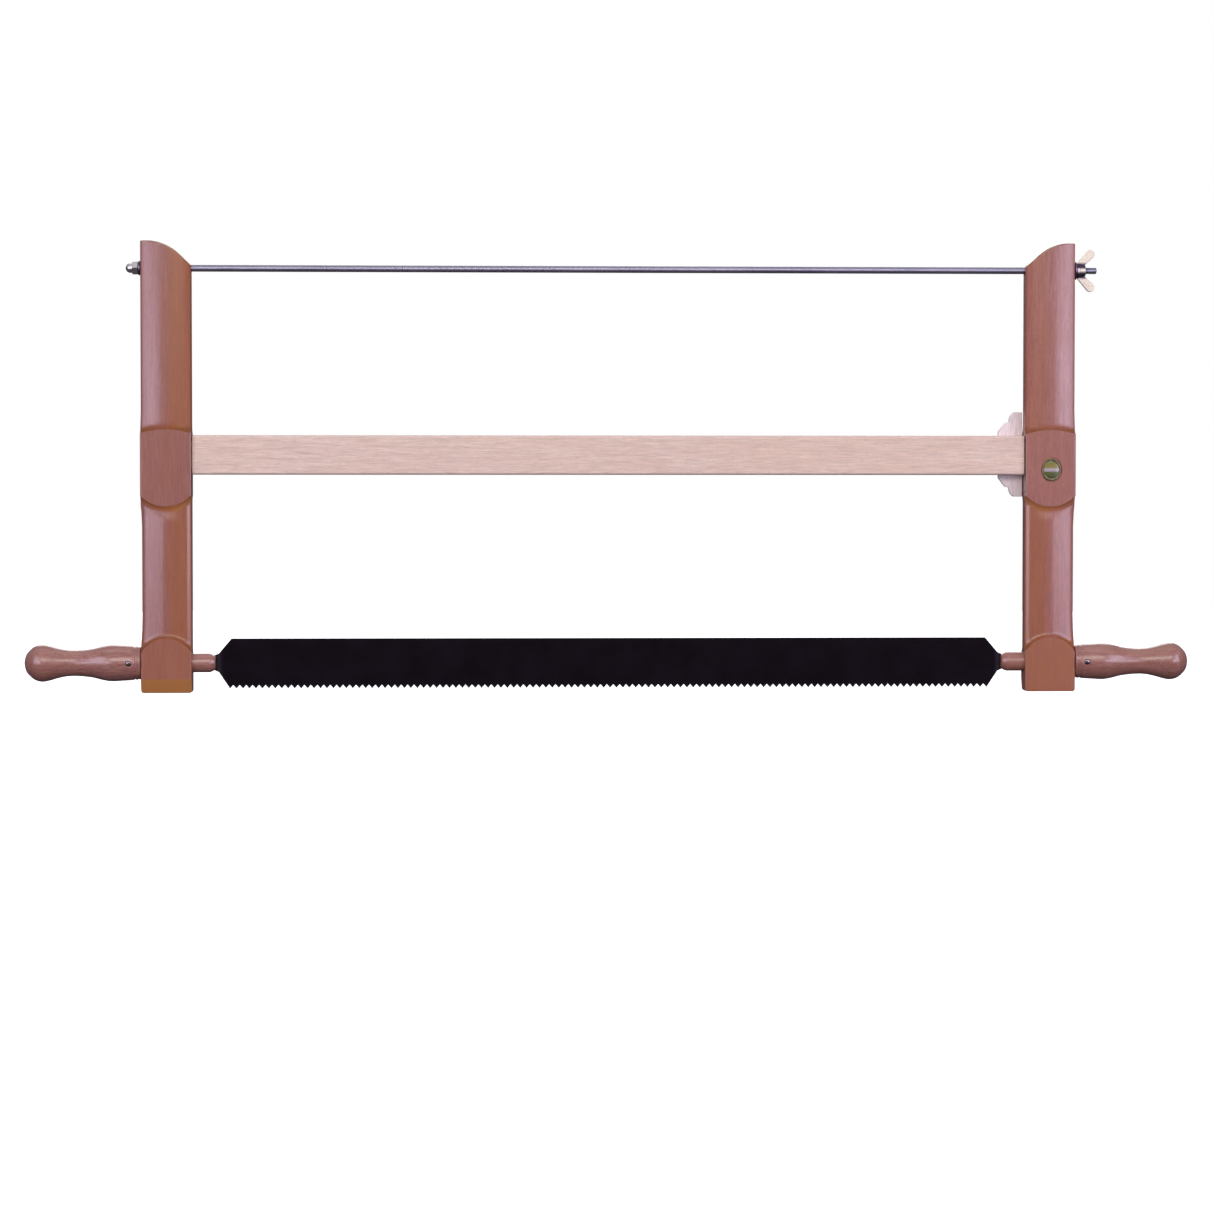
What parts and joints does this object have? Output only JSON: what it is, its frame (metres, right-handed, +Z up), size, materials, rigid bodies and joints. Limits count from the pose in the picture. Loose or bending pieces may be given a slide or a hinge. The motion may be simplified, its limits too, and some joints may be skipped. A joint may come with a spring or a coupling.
{
  "type": "bow saw",
  "caption": "Wooden frame saw: toothed blade between turned handles, arms rocking on a stretcher, tensioned by a threaded rod and wing nut.",
  "frame": {"origin": "on the ground under the middle of the saw, midway between its front and back", "axes": "+X along the saw towards the wing nut, +Y towards the back, +Z up from the blade to the tension rod"},
  "size_m": [1.039, 0.0332, 0.4],
  "materials": {
    "beech": "steamed beech with a satin lacquer",
    "pale_beech": "pale beech, planed and lightly sealed",
    "rod_steel": "drawn steel with rolled threads",
    "bright_steel": "bright zinc-plated steel",
    "cast_wing": "pale cast metal, satin",
    "dark_steel": "dark blued blade steel, ground",
    "badge_metal": "polished pale brass",
    "badge_enamel": "glossy olive enamel"
  },
  "bodies": {
    "stretcher": {"stretcher": "pale_beech", "scalloped_plate": "pale_beech"},
    "left_arm": {"left_arm": "beech"},
    "right_arm": {"right_arm": "beech", "badge_rim": "badge_metal", "badge_disc": "badge_enamel"},
    "rod": {"tension_rod": "rod_steel", "cap_nut": "bright_steel", "left_washer": "bright_steel"},
    "nut_washer": {"right_washer": "bright_steel"},
    "wing_nut": {"wing_nut": "cast_wing"},
    "blade": {"saw_blade": "dark_steel", "left_handle": "beech", "right_handle": "beech", "left_blade_pin": "bright_steel", "right_blade_pin": "bright_steel"}
  },
  "joints": [
    {"name": "left_arm_rock", "type": "hinge", "parent": "stretcher", "child": "left_arm", "pos_m": [-0.371, 0, 0.211], "axis": [0, -1, 0], "range_deg": [0, 1.05]},
    {"name": "right_arm_rock", "type": "hinge", "parent": "stretcher", "child": "right_arm", "pos_m": [0.371, 0, 0.211], "axis": [0, 1, 0], "range_deg": [0, 1.05]},
    {"name": "rod_slide", "type": "slide", "parent": "stretcher", "child": "rod", "axis": [-1, 0, 0], "range_m": [0, 0.003]},
    {"name": "washer_slide", "type": "slide", "parent": "rod", "child": "nut_washer", "axis": [1, 0, 0], "range_m": [0, 0.0061]},
    {"name": "wing_nut_turn", "type": "hinge", "parent": "nut_washer", "child": "wing_nut", "pos_m": [0.42, 0, 0.376], "axis": [1, 0, 0], "range_deg": [0, 2160]},
    {"name": "blade_turn", "type": "hinge", "parent": "stretcher", "child": "blade", "pos_m": [0, 0, 0.0265], "axis": [1, 0, 0], "continuous": true}
  ],
  "couplings": [
    {"joint": "washer_slide", "follows": "rod_slide", "ratio": 2},
    {"joint": "wing_nut_turn", "follows": "rod_slide", "rad_per_m": 12566},
    {"joint": "left_arm_rock", "follows": "rod_slide", "rad_per_m": 6.0606},
    {"joint": "right_arm_rock", "follows": "rod_slide", "rad_per_m": 6.0606}
  ]
}
